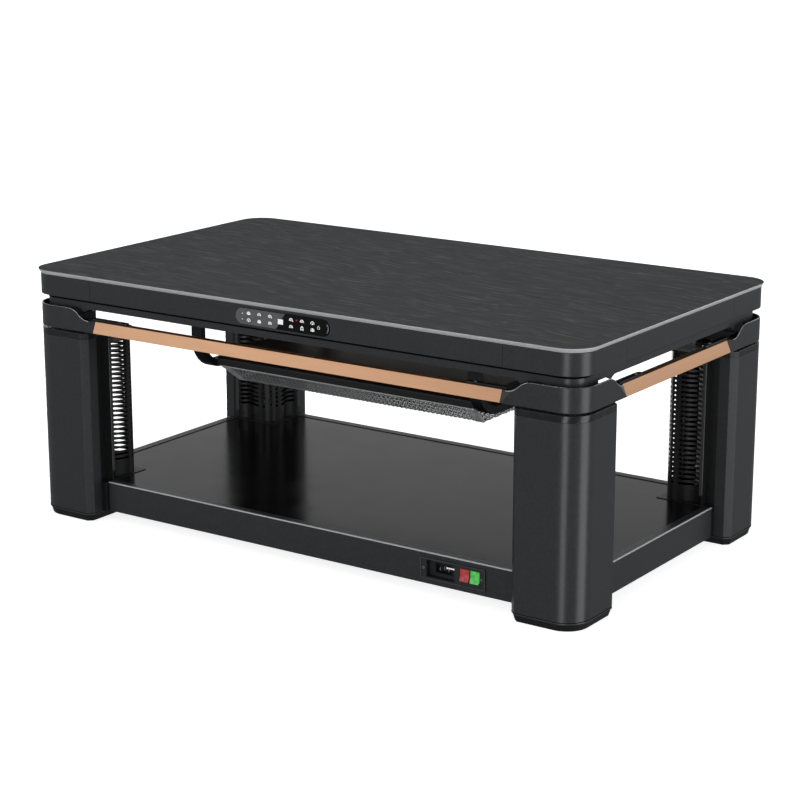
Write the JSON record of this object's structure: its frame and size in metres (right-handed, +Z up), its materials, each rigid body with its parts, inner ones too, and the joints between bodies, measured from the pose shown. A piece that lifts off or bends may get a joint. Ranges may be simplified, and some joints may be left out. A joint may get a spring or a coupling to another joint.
{
  "type": "heated coffee table with lifting top",
  "caption": "Low rectangular heated table with a stone top that rises on leg columns, a slung heater and a shelf between square legs.",
  "frame": {"origin": "on the floor under the middle of the table", "axes": "+Z up, +X along the long side, -Y towards the control panel and the switches"},
  "size_m": [1.38, 0.8, 0.55],
  "materials": {
    "stone": "satin",
    "board": "matte",
    "polished_trim": "polished",
    "charcoal_enamel": "satin",
    "black_enamel": "satin",
    "rose_gold": "satin",
    "gloss_black": "gloss",
    "black_plastic": "matte",
    "shelf_gloss": "gloss",
    "bare_steel": "satin",
    "brass": "satin",
    "motor": "satin",
    "quartz": "gloss",
    "board_green": "matte",
    "red_plastic": "gloss",
    "green_plastic": "gloss"
  },
  "bodies": {
    "base": {"outer_columns": "bare_steel", "lift_motors": "motor", "leg_caps": "gloss_black", "leg_feet": "black_plastic", "leg_heaters": "quartz", "shelf_front": "black_enamel", "shelf_back": "black_enamel", "shelf_sides": "black_enamel", "shelf_panel": "shelf_gloss", "shelf_bottom_cover": "black_enamel", "shelf_brackets": "black_enamel", "switch_plate": "black_plastic", "switch_plate_screws": "bare_steel", "power_inlet": "black_plastic", "power_box": "black_plastic", "leg_shell_front_left": "charcoal_enamel", "leg_shell_front_right": "charcoal_enamel", "leg_shell_back_left": "charcoal_enamel", "leg_shell_back_right": "charcoal_enamel", "leg_grille_front_left": "black_enamel", "leg_grille_front_right": "black_enamel", "leg_grille_back_left": "black_enamel", "leg_grille_back_right": "black_enamel"},
    "table_top": {"top_plate": "stone", "top_board": "board", "top_edge_trim": "polished_trim", "apron_front": "charcoal_enamel", "apron_back": "charcoal_enamel", "apron_left": "charcoal_enamel", "apron_right": "charcoal_enamel", "apron_corners": "charcoal_enamel", "underframe_rails": "charcoal_enamel", "underframe_corners": "charcoal_enamel", "cross_bars": "black_enamel", "rails_long": "rose_gold", "rails_short": "rose_gold", "rail_tongues": "black_enamel", "rail_screws": "bare_steel", "control_panel": "gloss_black", "control_board": "board_green", "heater_hanger_left": "black_enamel", "heater_hanger_right": "black_enamel", "heater_housing": "black_enamel", "heater_guard": "bare_steel", "heater_tubes": "quartz", "heater_tube_holders": "bare_steel", "heater_reflector": "bare_steel", "inner_columns": "bare_steel", "spindle_nuts": "brass", "collar_front_left": "charcoal_enamel", "collar_front_right": "charcoal_enamel", "collar_back_left": "charcoal_enamel", "collar_back_right": "charcoal_enamel"},
    "spindle_front_left": {"spindle_front_left": "bare_steel"},
    "spindle_front_right": {"spindle_front_right": "bare_steel"},
    "spindle_back_left": {"spindle_back_left": "bare_steel"},
    "spindle_back_right": {"spindle_back_right": "bare_steel"},
    "red_switch": {"rocker_red": "red_plastic"},
    "green_switch": {"rocker_green": "green_plastic"}
  },
  "joints": [
    {"name": "lift", "type": "slide", "parent": "base", "child": "table_top", "axis": [0, 0, 1], "range_m": [0, 0.2]},
    {"name": "screw_front_left", "type": "hinge", "parent": "base", "child": "spindle_front_left", "pos_m": [-0.625, -0.335, 0.11], "axis": [0, 0, 1], "range_deg": [0, 6010]},
    {"name": "screw_front_right", "type": "hinge", "parent": "base", "child": "spindle_front_right", "pos_m": [0.625, -0.335, 0.11], "axis": [0, 0, 1], "range_deg": [0, 6010]},
    {"name": "screw_back_left", "type": "hinge", "parent": "base", "child": "spindle_back_left", "pos_m": [-0.625, 0.335, 0.11], "axis": [0, 0, 1], "range_deg": [0, 6010]},
    {"name": "screw_back_right", "type": "hinge", "parent": "base", "child": "spindle_back_right", "pos_m": [0.625, 0.335, 0.11], "axis": [0, 0, 1], "range_deg": [0, 6010]},
    {"name": "press_red", "type": "hinge", "parent": "base", "child": "red_switch", "pos_m": [0.409, -0.3505, 0.054], "axis": [1, 0, 0], "range_deg": [0, 16]},
    {"name": "press_green", "type": "hinge", "parent": "base", "child": "green_switch", "pos_m": [0.433, -0.3505, 0.054], "axis": [1, 0, 0], "range_deg": [0, 16]}
  ],
  "couplings": [
    {"joint": "screw_front_left", "follows": "lift", "rad_per_m": 523.6},
    {"joint": "screw_front_right", "follows": "lift", "rad_per_m": 523.6},
    {"joint": "screw_back_left", "follows": "lift", "rad_per_m": 523.6},
    {"joint": "screw_back_right", "follows": "lift", "rad_per_m": 523.6}
  ]
}
